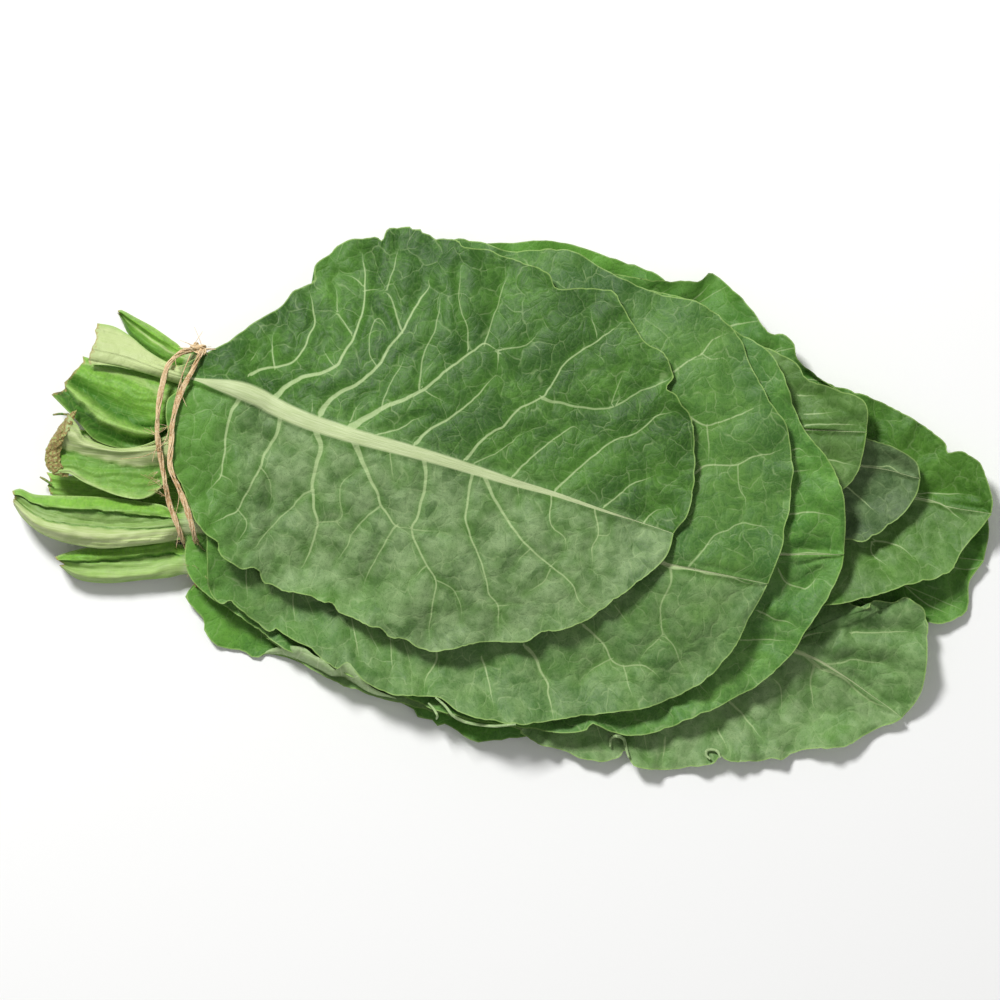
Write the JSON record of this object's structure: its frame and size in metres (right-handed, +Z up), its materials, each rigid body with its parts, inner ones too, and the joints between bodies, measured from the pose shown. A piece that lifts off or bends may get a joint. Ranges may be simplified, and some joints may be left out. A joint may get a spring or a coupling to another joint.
{
  "type": "bunch of collard greens",
  "caption": "Bunch of fresh collard greens lying flat, broad waved leaves fanned over each other, their petioles tied near the cut ends with twisted raffia.",
  "frame": {"origin": "on the table under the middle of the bunch: centre of the bounding box in plan, at its lowest point", "axes": "+X along the bunch from the cut petiole ends to the leaf tips, +Y across it towards the side with the knot of the raffia, +Z up from the table"},
  "size_m": [0.4346, 0.2398, 0.0401],
  "materials": {
    "leaf_top": "satin, waxy, with pale raised veins",
    "leaf_middle": "satin, waxy, with pale veins",
    "leaf_grey": "matte grey bloom over dark green",
    "leaf_bright": "satin, fresh yellow-green",
    "raffia": "matte dry twisted fibre"
  },
  "bodies": {
    "root": {"leaf_1": "leaf_top", "leaf_2": "leaf_top", "leaf_3": "leaf_middle", "leaf_4": "leaf_middle", "leaf_5": "leaf_grey", "leaf_6": "leaf_bright", "leaf_7": "leaf_middle", "leaf_8": "leaf_middle", "leaf_9": "leaf_bright", "leaf_10": "leaf_bright", "raffia_tie": "raffia"}
  },
  "joints": []
}
